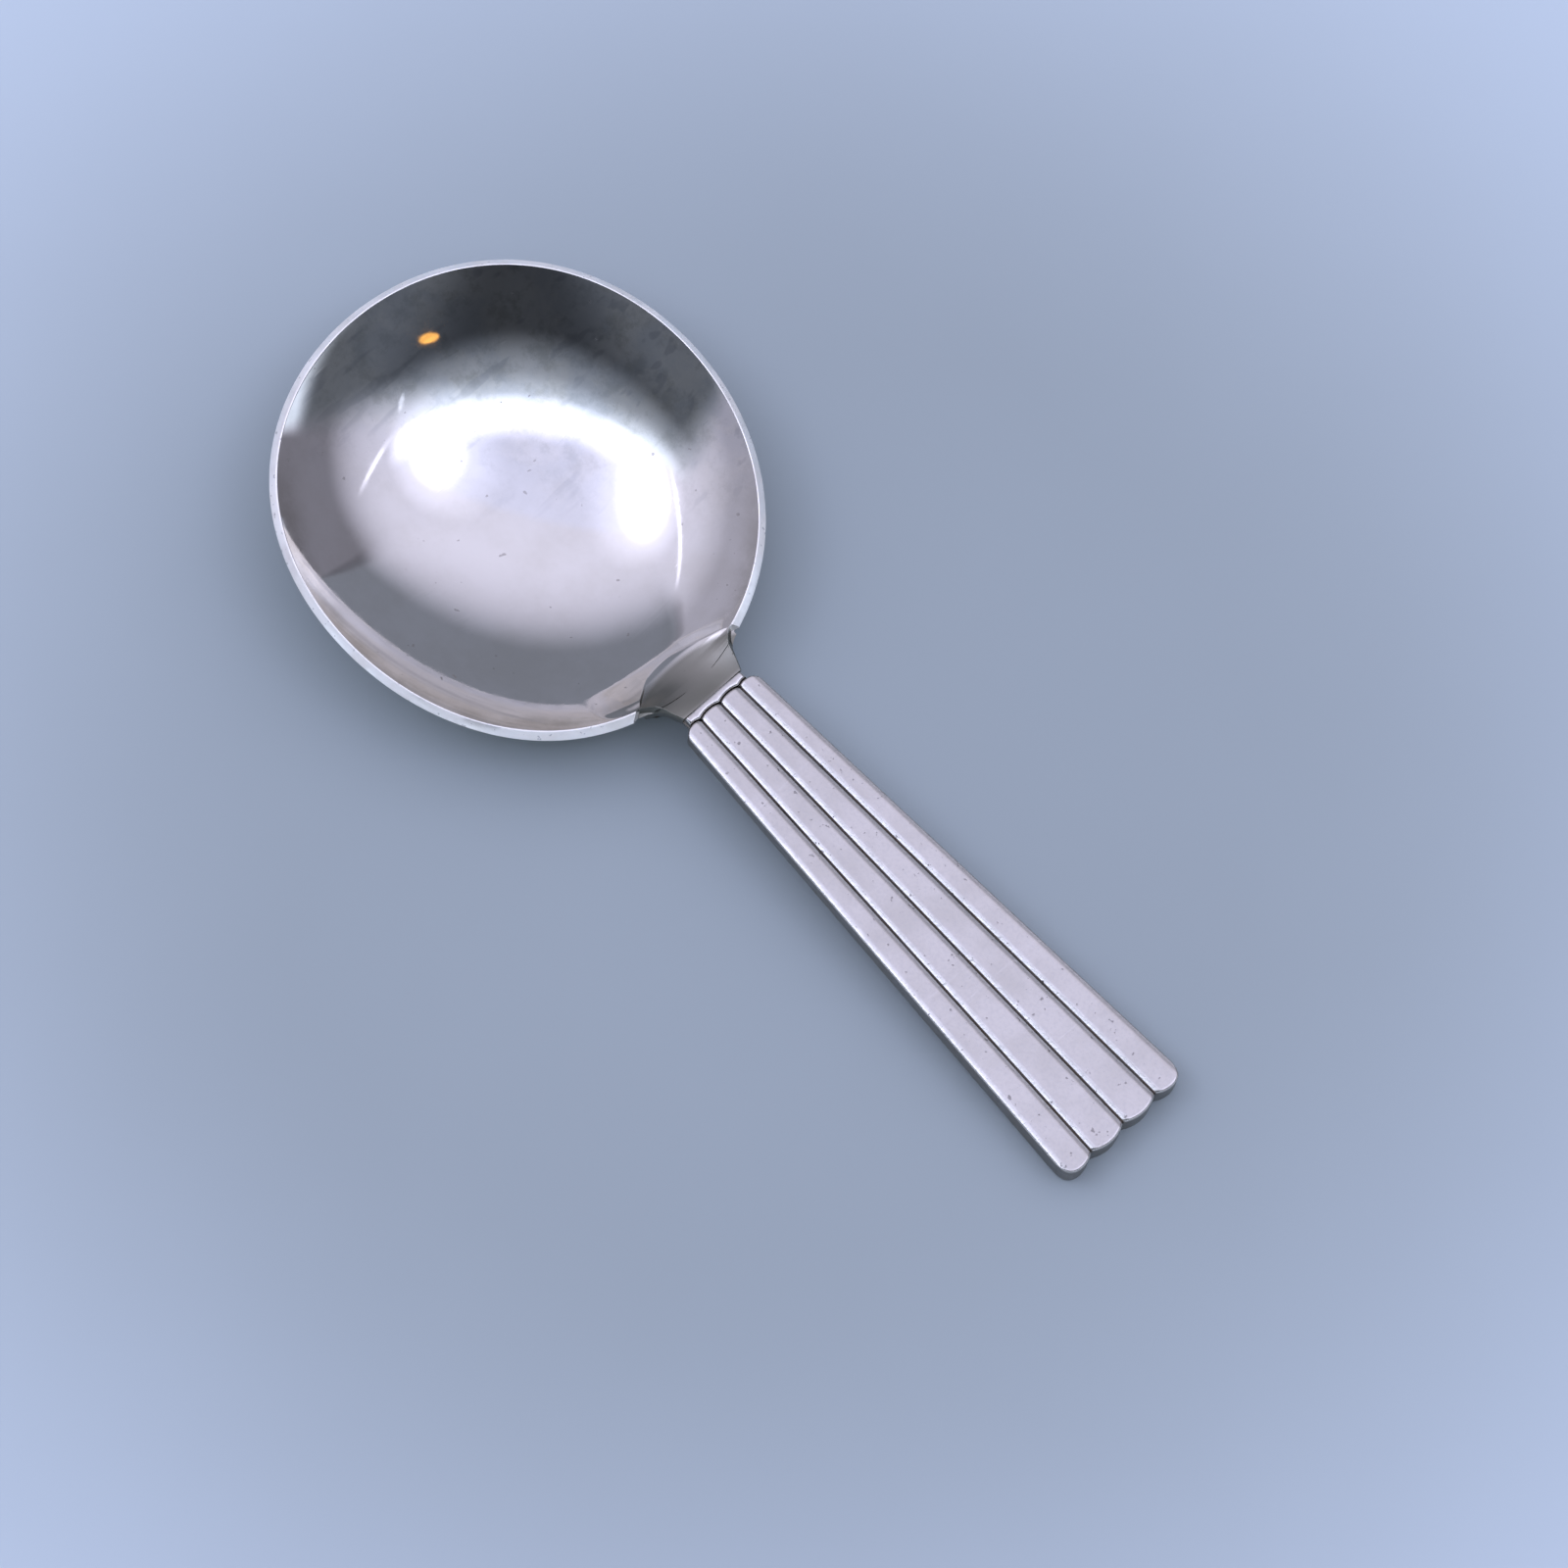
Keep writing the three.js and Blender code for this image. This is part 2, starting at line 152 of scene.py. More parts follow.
# Light. A lamp has a middle and a reach, and a strip two ends, in the plane of make_world().
LAMPS = (((-0.76, 0.13), (0.29, 0.36)), ((0.56, -0.10), (0.24, 0.28)))
GLINT = ((0.9, -0.38), (0.03, 0.09))
LANTERN = ((0.813, -0.944), (0.12, 0.07))
LANTERN_COLOUR = (2.2, 1.1, 0.3)
STRIPS = (((-1.07, 0.03), (-1.235, 1.2)), ((0.98, -0.08), (1.43, 0.55)))
STRIP_WIDTH = 0.035
LAMP_LIGHT = 1.15
HALO_LIGHT = 0.5
HALO_REACH = 0.22
STRIP_LIGHT = 1.1
GLINT_LIGHT = 0.7
ROOF_TINTS = ((0.99, 1.017, 1.365), (0.99, 1.109, 1.494))
SIDE_TINT = (0.98, 1.037, 1.472)
FRONT_TINT = (0.98, 1.13, 1.48)


# Meshes


def place(points):
    """Points in the spoon's plane, in millimetres, laid at rest on the table, in metres."""
    points = np.asarray(points, float)
    c, s = math.cos(TILT), math.sin(TILT)
    x = points[..., 0] * c + points[..., 2] * s + SHIFT[0]
    z = -points[..., 0] * s + points[..., 2] * c + SHIFT[2]
    return np.stack([x, points[..., 1], z], -1) * MILLIMETRE


def unplace(points):
    """The reverse of place()."""
    points = points / MILLIMETRE
    c, s = math.cos(TILT), math.sin(TILT)
    x, z = points[:, 0] - SHIFT[0], points[:, 2] - SHIFT[2]
    return np.stack([x * c - z * s, points[:, 1], x * s + z * c], -1)


def smooth_step(value, low, high):
    share = np.clip((value - low) / (high - low), 0, 1)
    return share * share * (3 - 2 * share)


def soft_min(a, b, width):
    """The lower of two heights, with their meeting line rounded over about this width in height."""
    near = np.clip(width - np.abs(a - b), 0, None) / width
    return np.minimum(a, b) - near**3 * width / 6


class MeshBuilder:
    """Collects grids of points and their faces, and makes one closed mesh of them."""

    def __init__(self):
        self.points = []
        self.faces = []
        self.count = 0

    def grid(self, points, flip=False, wrap=False):
        """Adds a grid of points, rows by columns, with quads between them."""
        rows, columns = points.shape[:2]
        index = np.arange(rows * columns).reshape(rows, columns) + self.count
        self.points.append(points.reshape(-1, 3))
        self.count += rows * columns
        if wrap:
            index = np.concatenate([index, index[:, :1]], 1)
        a, b = index[:-1, :-1], index[:-1, 1:]
        c, d = index[1:, 1:], index[1:, :-1]
        quads = np.stack([a, d, c, b] if flip else [a, b, c, d], -1).reshape(-1, 4)
        self.faces.extend(quads.tolist())

    def block(self, top, bottom, rows):
        """Adds an upper and a lower grid, and the four sides between them with that many rows."""
        self.grid(top)
        self.grid(bottom, flip=True)
        share = np.linspace(0, 1, rows)[:, None, None]
        for upper, lower in (
            (top[0], bottom[0]),
            (top[-1], bottom[-1]),
            (top[:, 0], bottom[:, 0]),
            (top[:, -1], bottom[:, -1]),
        ):
            self.grid(upper[None] * (1 - share) + lower[None] * share)

    def make(self, name, sharp_angle):
        vertices = place(np.concatenate(self.points))
        mesh = bpy.data.meshes.new(name)
        mesh.from_pydata(vertices.tolist(), [], self.faces)
        work = bmesh.new()
        work.from_mesh(mesh)
        bmesh.ops.remove_doubles(work, verts=work.verts, dist=MERGE_DISTANCE)
        bmesh.ops.dissolve_degenerate(work, edges=work.edges, dist=MERGE_DISTANCE)
        bmesh.ops.recalc_face_normals(work, faces=work.faces)
        work.to_mesh(mesh)
        work.free()
        mesh.validate()
        mesh.shade_smooth()
        mesh.set_sharp_from_angle(angle=math.radians(sharp_angle))
        piece = bpy.data.objects.new(name, mesh)
        bpy.context.scene.collection.objects.link(piece)
        return piece


# Bowl


def outline_scale(turn):
    """How far the outline departs from a circle's width at each turn."""
    along = np.cos(turn)
    return 1 - TIP_FULLNESS * along + SQUARE_END * along**2


def hand_factor(turn):
    """How far the hammered rim strays from its outline at each turn."""
    factor = 1.0
    for amount, times in HAND_RAISED:
        factor = factor + amount * np.sin(times * turn)
    return factor


def bowl_plan(radius, turn):
    """Where a point of the round profile lies in plan. The hammered rim isn't quite regular."""
    share = radius / HALF_WIDTH
    wobble = 1 + (hand_factor(turn) - 1) * np.clip(share, 0, 1.05) ** 2
    x = share * HALF_LENGTH * np.cos(turn) * wobble
    y = share * HALF_WIDTH * outline_scale(turn) * np.sin(turn) * wobble
    return x, y


def wall_height(radius, sphere):
    return CENTRE_HEIGHT - np.sqrt(np.maximum(sphere**2 - radius**2, 0))


def plan_radius(x, y):
    """The profile's radius at a place in plan: the reverse of bowl_plan()."""
    c, s = x / HALF_LENGTH, y / HALF_WIDTH
    turn = np.arctan2(s, c)
    for _ in range(6):
        turn = np.arctan2(s / outline_scale(turn), c)
    share = np.hypot(c, s / outline_scale(turn))
    factor = hand_factor(turn)
    wobble = 1.0
    for _ in range(4):
        wobble = 1 + (factor - 1) * np.clip(share / wobble, 0, 1.05) ** 2
    return share / wobble * HALF_WIDTH


def outer_wall(x, y):
    return wall_height(np.minimum(plan_radius(x, y), OUTER_RADIUS - 0.001), OUTER_RADIUS)


def ridge_y(x):
    """Half the width of the neck's trough, from its middle to its ridges."""
    return np.interp(x, *RIDGE)


def neck_top(x, y):
    """Height of the hollowed neck: a trough that leads from the bowl up to the collar."""
    ridge = ridge_y(x)
    away = np.abs(y - np.interp(x, *TROUGH_MIDDLE))
    depth = RAMP_TOP - (COLLAR_FRONT - x) * RAMP_SLOPE
    trough = depth + (-RIDGE_DROP - depth) * (away / ridge) ** 2
    past = away - ridge
    steep = -RIDGE_DROP - past * SKIRT_SLOPE
    skirt = np.maximum(steep, -SKIRT_DROP - np.clip(past, 0, None) * SKIRT_FALL)
    return soft_min(trough, skirt, RIDGE_ROUND)


def past_end(x, y):
    """How far a place lies past the line on which the rim's cut edge ends, on its own side.

    RIGHT_END and LEFT_END hold a place on that line and the line's direction.
    """
    right = (y - RIGHT_END[1]) * RIGHT_END[2] - (x - RIGHT_END[0]) * RIGHT_END[3]
    left = (-y - LEFT_END[1]) * LEFT_END[2] - (x - LEFT_END[0]) * LEFT_END[3]
    return np.where(y > 0, right, left)


def channel(x, y):
    """The neck's top within the bowl, which stops at the two ends of the rim."""
    beyond = np.clip(past_end(x, y), 0, None)
    gentle, steep, bend = 2.2, 30.0, 0.25
    kept = beyond * gentle + np.clip(beyond - bend, 0, None) * steep
    return neck_top(x, y) + kept + np.clip(CHANNEL_START - x, 0, None)


def bank(x, y, radius):
    """How much the forged neck pushes the bowl's wall up in front of its ramp."""
    past = x - np.interp(y, *BANK_FOOT)
    rise = np.interp(y, *BANK_SLOPE) * (np.sqrt(past**2 + 0.04) + past) / 2
    rim = smooth_step(radius, 20.4, 21.35) * smooth_step(np.abs(y), 4.6, 5.7)
    return rise * (1 - rim) * (x > NECK_SIDE)


def arc(centre, first, second, radius, turn):
    """Points round a centre, from the first direction towards the second."""
    return centre + first * radius * np.cos(turn) + second * radius * np.sin(turn)


def bowl_top_profile():
    """Radius and height of the bowl's upper surface, from the middle to the rim's widest point.

    The second result goes on from there, round the rim's lower edge.
    """
    up = np.array([math.cos(WALL_ANGLE), math.sin(WALL_ANGLE)])
    out = np.array([math.sin(WALL_ANGLE), -math.cos(WALL_ANGLE)])
    inner = np.array([INNER_EDGE, 0.0])
    outer = inner + out * SHEET
    last = WALL_ANGLE - INNER_EDGE_RADIUS / INNER_RADIUS
    angles = np.concatenate(
        [np.linspace(0, DENSE_ANGLE, 60, endpoint=False), np.linspace(DENSE_ANGLE, last, 60)]
    )
    wall = np.stack(
        [INNER_RADIUS * np.sin(angles), CENTRE_HEIGHT - INNER_RADIUS * np.cos(angles)], 1
    )
    turn = np.linspace(0, math.pi / 2, 7)[1:, None]
    centre = inner + (out - up) * INNER_EDGE_RADIUS
    inner_edge = arc(centre, -out, up, INNER_EDGE_RADIUS, turn)
    share = np.linspace(0, 1, 22)[1:-1, None]
    start = inner + out * INNER_EDGE_RADIUS
    end = outer - out * OUTER_EDGE_RADIUS
    land = start + (end - start) * share + up * LAND_CROWN * 4 * share * (1 - share)
    centre = outer - (out + up) * OUTER_EDGE_RADIUS
    turn = np.linspace(0, WALL_ANGLE, 7)[:, None]
    outer_edge = arc(centre, up, out, OUTER_EDGE_RADIUS, turn)
    turn = np.linspace(WALL_ANGLE, math.pi / 2, 4)[1:, None]
    under_edge = arc(centre, up, out, OUTER_EDGE_RADIUS, turn)
    return np.concatenate([wall, inner_edge, land, outer_edge]), under_edge


def bowl_directions():
    """Turns round the bowl, closer together at the neck."""
    half = np.concatenate(
        [np.linspace(0, 12, 61), np.linspace(12, 19, 71)[1:], np.linspace(19, 180, 270)[1:]]
    )
    full = np.concatenate([half, -half[1:-1][::-1]])
    return np.radians(full)


def notch_radius(turn, widest):
    """The radius at which the channel's floor leaves the bowl's outer wall, or the rim's own."""
    low = np.full_like(turn, 16.0)
    high = np.full_like(turn, widest)
    for _ in range(50):
        middle = (low + high) / 2
        x, y = bowl_plan(middle, turn)
        open_here = channel(x, y) < wall_height(middle, OUTER_RADIUS)
        inside = (np.abs(turn) < NOTCH_TURN) & ~open_here
        low = np.where(inside, middle, low)
        high = np.where(inside, high, middle)
    x, y = bowl_plan(np.full_like(turn, widest), turn)
    lowest = wall_height(widest, OUTER_RADIUS) + 0.02
    notched = (np.abs(turn) < NOTCH_TURN) & (channel(x, y) < lowest)
    return np.where(notched, (low + high) / 2, widest), notched


def crest_width(y):
    """How far the crest between the bowl's wall and the channel is rounded over."""
    return 0.08 + 0.3 * np.exp(-(((y + 0.5) / 3.2) ** 2))


def make_bowl():
    top, under_edge = bowl_top_profile()
    turn = bowl_directions()
    widest = top[-1, 0]
    edge, notched = notch_radius(turn, widest)
    build = MeshBuilder()
    radius = top[:, :1] * (edge / widest)[None, :]
    x, y = bowl_plan(radius, turn[None, :])
    profile = np.interp(radius, top[:, 0], top[:, 1])
    beyond = np.clip(radius - INNER_EDGE, 0, None)
    wall = wall_height(np.minimum(radius, INNER_EDGE), INNER_RADIUS) + beyond
    shape = soft_min(wall + bank(x, y, radius), channel(x, y), crest_width(y))
    inside = (radius < INNER_EDGE - INNER_EDGE_RADIUS) | ((x > NECK_SIDE) & (past_end(x, y) <= 0))
    height = np.where(inside, shape, np.minimum(profile, shape))
    height = np.maximum(height, wall_height(radius, OUTER_RADIUS))
    upper = np.stack([x, y, height], -1)
    steps = len(under_edge)
    under = []
    for k in range(steps):
        radius = np.where(notched, edge - LIP_STEP * (k + 1), under_edge[k, 0])
        height = np.where(notched, wall_height(radius, OUTER_RADIUS), under_edge[k, 1])
        x, y = bowl_plan(radius, turn)
        under.append(np.stack([x, y, height], -1))
    shares = np.linspace(1, 0, 70)[1:] ** 0.9
    lip = np.arcsin((edge - LIP_STEP * steps) / OUTER_RADIUS)
    start = np.where(notched, lip, WALL_ANGLE - OUTER_EDGE_RADIUS / OUTER_RADIUS)
    for share in shares:
        radius = OUTER_RADIUS * np.sin(start * share)
        x, y = bowl_plan(radius, turn)
        under.append(np.stack([x, y, wall_height(radius, OUTER_RADIUS)], -1))
    build.grid(np.concatenate([upper, np.stack(under)]), wrap=True)
    return build.make("silver_bowl", 50)


def mark_land(piece):
    """Gives the rim's cut edge the second of the piece's materials."""
    mesh = piece.data
    centres = np.zeros(len(mesh.polygons) * 3)
    mesh.polygons.foreach_get("center", centres)
    centres = unplace(centres.reshape(-1, 3))
    radius = plan_radius(centres[:, 0], centres[:, 1])
    above = (radius - INNER_EDGE) * math.cos(WALL_ANGLE) + centres[:, 2] * math.sin(WALL_ANGLE)
    past = past_end(centres[:, 0], centres[:, 1])
    at_neck = centres[:, 0] > NECK_SIDE
    land = (above > -0.12) & (radius > INNER_EDGE - 0.09) & ~(at_neck & (past <= 0))
    ends = at_neck & (past > 0) & (past < 0.35) & (radius > INNER_EDGE - 0.05)
    land |= ends & (centres[:, 2] > outer_wall(centres[:, 0], centres[:, 1]) + 0.04)
    mesh.polygons.foreach_set("material_index", land.astype(np.int32))


# Neck


def neck_outline(x):
    """Half the width of the neck's plan at its widest, under the ridge."""
    return np.interp(x, *NECK_OUTLINE)


def neck_underside(x):
    """Height of the neck's underside on its axis."""
    tip = FLARE_X - HEEL_REACH
    tip_radius = tip / HALF_LENGTH * HALF_WIDTH
    drop = math.sqrt(OUTER_RADIUS**2 - tip_radius**2)
    slope = tip_radius / drop * HALF_WIDTH / HALF_LENGTH
    tip_height = CENTRE_HEIGHT - drop - 0.25
    bend = tip - (tip_height - UNDER_HEIGHT) / slope
    share = np.linspace(0, 1, 200)
    along = (1 - share) ** 2 * UNDER_BACK + 2 * share * (1 - share) * bend + share**2 * tip
    height = (1 - share**2) * UNDER_HEIGHT + share**2 * tip_height
    return np.interp(x, along[::-1], height[::-1])


def seam_x(y):
    """Where the channel's floor leaves the bowl's outer wall, at each distance from the axis."""
    low = np.full_like(y, 20.0)
    high = np.full_like(y, 24.5)
    for _ in range(50):
        middle = (low + high) / 2
        radius = plan_radius(middle, y)
        outside = (radius > HALF_WIDTH) | (neck_top(middle, y) < outer_wall(middle, y))
        high = np.where(outside, middle, high)
        low = np.where(outside, low, middle)
    return (low + high) / 2


def make_neck():
    across = np.sin(np.linspace(-1, 1, 121) * math.pi / 2)
    shoulder = COLLAR_FRONT + 0.02
    y = across * neck_outline(FLARE_X)
    seam = seam_x(y)
    heel = FLARE_X - HEEL_REACH * np.sqrt(1 - across**2)
    seam = np.maximum(seam, heel)
    tucked = HEEL_TUCK * np.clip((seam - heel) / 0.5, 0, 1) * (1 - across**2)
    rows_top = []
    for share in np.linspace(0, 1, 25)[:-1]:
        x = heel + (seam - heel) * share
        hidden = outer_wall(x, y) + (1 - share) ** 0.5 * tucked
        rows_top.append(np.stack([x, y, np.where(seam > heel, hidden, neck_top(x, y))], -1))
    for share in np.concatenate([[0, 0.0006], np.linspace(0, 1, 60)[1:]]):
        x = seam + (shoulder - seam) * share
        y = across * neck_outline(FLARE_X + (shoulder - FLARE_X) * share)
        rows_top.append(np.stack([x, y, neck_top(x, y)], -1))
    for x in np.linspace(shoulder, NECK_BACK, 6):
        y = across * neck_outline(x)
        rows_top.append(np.stack([np.full_like(y, x), y, np.full_like(y, SEAT)], -1))
    top = np.stack(rows_top)
    x, y = top[..., 0], top[..., 1]
    reach = np.hypot(across[None, :], np.clip(FLARE_X - x, 0, None) / HEEL_REACH)
    full = np.interp(x, [FLARE_X - 1.6, FLARE_X + 0.2], [0.35, 0.9])
    dome = np.sqrt(1 - np.clip((reach - full) / (1 - full), 0, 1) ** 2)
    under = neck_underside(x) + y**2 / 90
    bottom = top.copy()
    bottom[..., 2] = top[..., 2] + np.minimum(under - top[..., 2], -LEAST_THICKNESS) * dome
    build = MeshBuilder()
    build.grid(top)
    build.grid(bottom, flip=True)
    build.grid(np.stack([top[-1], bottom[-1]]))
    return build.make("silver_neck", 32)


# Handle


def along_handle(x, ends):
    """A size that grows evenly from the ribs' start to their end."""
    return ends[0] + (ends[1] - ends[0]) * (x - GROOVE_START) / (GROOVE_END - GROOVE_START)


def lobe(y, rib, edge, base, bulge, corner, sign):
    """Where the handle ends at each y: a rounded lobe on each rib."""
    away = np.abs(y)
    inner = np.clip(away / rib, 0, 1)
    middle = base + sign * 4 * bulge * inner * (1 - inner)
    share = np.linspace(0, 1, 60)
    start, first, second, last = (
        (base, rib),
        (base + sign * 1.5 * bulge, rib + (edge - rib) / 3),
        (base + sign * (bulge if sign < 0 else 1.5 * bulge), edge),
        (corner, edge),
    )
    weights = [(1 - share) ** 3, 3 * share * (1 - share) ** 2, 3 * share**2 * (1 - share), share**3]
    curve = [sum(w * p[k] for w, p in zip(weights, (start, first, second, last))) for k in (0, 1)]
    outer = np.interp(away, np.maximum.accumulate(curve[1] + share * 1e-6), curve[0])
    return np.where(away <= rib, middle, outer)


def handle_start(y):
    corner = GROOVE_START + 1.1
    edge = along_handle(corner, HALF_WIDTHS)
    return lobe(y, RIB_WIDTHS[0], edge, GROOVE_START, START_BULGE, corner, -1)


def handle_end(y):
    corner = GROOVE_END - 1.7 + END_BULGE
    edge = along_handle(corner, HALF_WIDTHS)
    return lobe(y, RIB_WIDTHS[1], edge, GROOVE_END, END_BULGE, corner, 1)


def handle_columns():
    """Where the lines along each rib run, from its left side and from its right side.

    Each is named by a groove, or an edge of the handle, and a distance from it.
    """
    columns = []
    for groove in (-2, -1, 0, 1):
        if groove == -2:
            left = [("edge", -1, distance) for distance in EDGE_LINES]
        else:
            left = [("groove", groove, distance) for distance in GROOVE_LINES]
        if groove == 1:
            right = [("edge", 1, distance) for distance in EDGE_LINES[::-1]]
        else:
            right = [("groove", groove + 1, -distance) for distance in GROOVE_LINES[:0:-1]]
        columns.append((left, right))
    return columns


def column_lines(x):
    """Every column's y at the station x."""
    rib = along_handle(x, RIB_WIDTHS)
    edge = along_handle(x, HALF_WIDTHS)

    def at(kind, which, offset):
        return which * (edge - offset) if kind == "edge" else which * rib + offset

    lines = []
    for left, right in handle_columns():
        first = [at(*item) for item in left]
        last = [at(*item) for item in right]
        inner = np.linspace(first[-1], last[0], 8)[1:-1]
        lines.extend(first + list(inner) + last)
    return np.array(lines)


def rib_height(x, y):
    """Height of the ribbed top: nearly flat ribs, with narrow grooves between them."""
    rib = along_handle(x, RIB_WIDTHS)
    edge = along_handle(x, HALF_WIDTHS)
    distance = np.minimum(np.abs(y), np.minimum(np.abs(y - rib), np.abs(y + rib)))
    height = -np.interp(distance, *GROOVE_DEPTH)
    return height - np.interp(edge - np.abs(y), *EDGE_DEPTH)


def end_drop(distance, radius):
    """How far the handle's rounded end has dropped at this distance from its tip."""
    part = np.clip(1 - distance / radius, 0, 1)
    return radius * (1 - math.sqrt(1 - part**2))


def make_handle():
    first, last = column_lines(GROOVE_START), column_lines(GROOVE_END)
    begin, finish = handle_start(first), handle_end(last)
    margin = END_STATIONS[-1]
    stations = [(begin + d, end_drop(d, START_RADIUS)) for d in END_STATIONS]
    for share in np.linspace(0.012, 0.988, 60):
        stations.append((begin + margin + (finish - begin - 2 * margin) * share, 0.0))
    stations += [(finish - d, end_drop(d, END_RADIUS)) for d in END_STATIONS[::-1]]
    rows = []
    for x, drop in stations:
        y = first + (last - first) * (x - GROOVE_START) / (GROOVE_END - GROOVE_START)
        low = -along_handle(x, THICKNESSES)
        edge = along_handle(x, HALF_WIDTHS)
        side = np.clip((BOTTOM_EDGE - (edge - np.abs(y))) / BOTTOM_EDGE, 0, 1)
        bottom = low + BOTTOM_EDGE * (1 - np.sqrt(1 - side**2)) + drop
        top = rib_height(x, y) - drop
        rows.append((np.stack([x, y, top], -1), np.stack([x, y, bottom], -1)))
    build = MeshBuilder()
    build.block(np.stack([row[0] for row in rows]), np.stack([row[1] for row in rows]), 5)
    return build.make("ribbed_handle", 38)


# Collar


def make_collar():
    across = np.sin(np.linspace(-1, 1, 141) * math.pi / 2) * COLLAR_HALF_WIDTH
    back = handle_start(across) - COLLAR_GAP
    turn = np.linspace(0, math.pi, 21)
    past = np.clip((np.abs(across) - (COLLAR_HALF_WIDTH - COLLAR_END)) / COLLAR_END, 0, 1)
    end = np.sqrt(1 - past**2)
    rows = []
    for share, rise in zip((1 - np.cos(turn)) / 2, np.sin(turn) ** 0.55):
        x = COLLAR_FRONT + (back - COLLAR_FRONT) * share
        z = COLLAR_FOOT + COLLAR_RISE * rise * end - 0.12 * (1 - end)
        rows.append(np.stack([x, across, z], -1))
    top = np.stack(rows)
    bottom = top.copy()
    bottom[..., 2] = COLLAR_BOTTOM
    build = MeshBuilder()
    build.block(top, bottom, 2)
    return build.make("raised_collar", 40)


# Materials


class Field:
    """A number that varies over a surface, as a chain of math nodes."""

    def __init__(self, tree, socket):
        self.tree = tree
        self.socket = socket

    def math(self, operation, *others):
        node = self.tree.nodes.new("ShaderNodeMath")
        node.operation = operation
        self.tree.links.new(self.socket, node.inputs[0])
        for k, other in enumerate(others, 1):
            if isinstance(other, Field):
                self.tree.links.new(other.socket, node.inputs[k])
            else:
                node.inputs[k].default_value = other
        return Field(self.tree, node.outputs[0])

    def __add__(self, other):
        return self.math("ADD", other)

    def __sub__(self, other):
        return self.math("SUBTRACT", other)

    def __mul__(self, other):
        return self.math("MULTIPLY", other)

    def __truediv__(self, other):
        return self.math("DIVIDE", other)

    def power(self, other):
        return self.math("POWER", other)

    def size(self):
        return self.math("ABSOLUTE")

    def least(self, other):
        return self.math("MINIMUM", other)

    def most(self, other):
        return self.math("MAXIMUM", other)

    def step(self, low, high, start=0.0, end=1.0):
        """Eases from start to end while this number goes from low to high."""
        node = self.tree.nodes.new("ShaderNodeMapRange")
        node.interpolation_type = "SMOOTHSTEP"
        self.tree.links.new(self.socket, node.inputs["Value"])
        limits = {"From Min": low, "From Max": high, "To Min": start, "To Max": end}
        for name, value in limits.items():
            node.inputs[name].default_value = value
        return Field(self.tree, node.outputs[0])


def mixed(tree, share, first, second):
    """A colour between two colours. Each may be a plain colour or a socket."""
    node = tree.nodes.new("ShaderNodeMix")
    node.data_type = "RGBA"
    if isinstance(share, Field):
        tree.links.new(share.socket, node.inputs[0])
    else:
        node.inputs[0].default_value = share
    for slot, value in ((6, first), (7, second)):
        if isinstance(value, bpy.types.NodeSocket):
            tree.links.new(value, node.inputs[slot])
        else:
            node.inputs[slot].default_value = (*value, 1.0)
    return node.outputs[2]


def mapped(tree, vector, scale=(1, 1, 1), turn=(0, 0, 0), shift=(0, 0, 0)):
    node = tree.nodes.new("ShaderNodeMapping")
    node.inputs["Scale"].default_value = scale
    node.inputs["Rotation"].default_value = turn
    node.inputs["Location"].default_value = shift
    tree.links.new(vector, node.inputs["Vector"])
    return node.outputs[0]


def parts(tree, vector):
    """The three numbers of a vector."""
    node = tree.nodes.new("ShaderNodeSeparateXYZ")
    tree.links.new(vector, node.inputs[0])
    return [Field(tree, socket) for socket in node.outputs]


def noise(tree, vector, scale, detail=4.0, roughness=0.55):
    node = tree.nodes.new("ShaderNodeTexNoise")
    node.inputs["Scale"].default_value = scale
    node.inputs["Detail"].default_value = detail
    node.inputs["Roughness"].default_value = roughness
    tree.links.new(vector, node.inputs["Vector"])
    return Field(tree, node.outputs[0])


def nodes_of(name):
    """A new material with its node tree and its shader."""
    material = bpy.data.materials.new(name)
    material.use_nodes = True
    tree = material.node_tree
    tree.nodes.clear()
    output = tree.nodes.new("ShaderNodeOutputMaterial")
    shader = tree.nodes.new("ShaderNodeBsdfPrincipled")
    tree.links.new(shader.outputs[0], output.inputs[0])
    return material, tree, shader


def object_vector(tree):
    return tree.nodes.new("ShaderNodeTexCoord").outputs["Object"]


def roughen(tree, shader, height, distance):
    """Adds fine relief to a shader, where a height of one stands for this distance in metres."""
    node = tree.nodes.new("ShaderNodeBump")
    node.inputs["Distance"].default_value = distance
    tree.links.new(height.socket, node.inputs["Height"])
    tree.links.new(node.outputs[0], shader.inputs["Normal"])


def spoon_parts(tree):
    """Where a point lies in the spoon's own plane, in millimetres: along, across and above."""
    x, y, z = parts(tree, object_vector(tree))
    x = x * 1000.0 - SHIFT[0]
    z = z * 1000.0 - SHIFT[2]
    c, s = math.cos(TILT), math.sin(TILT)
    return x * c - z * s, y * 1000.0, x * s + z * c


def scratches(tree, vector, turn, scale, cut):
    """Fine lines in one direction, as one where there is a scratch and zero elsewhere."""
    stretched = mapped(tree, vector, (1.0, 0.03, 1.0), (0, 0, turn))
    lines = noise(tree, stretched, scale, 2.0, 0.5)
    return lines.step(cut, cut + 0.05)


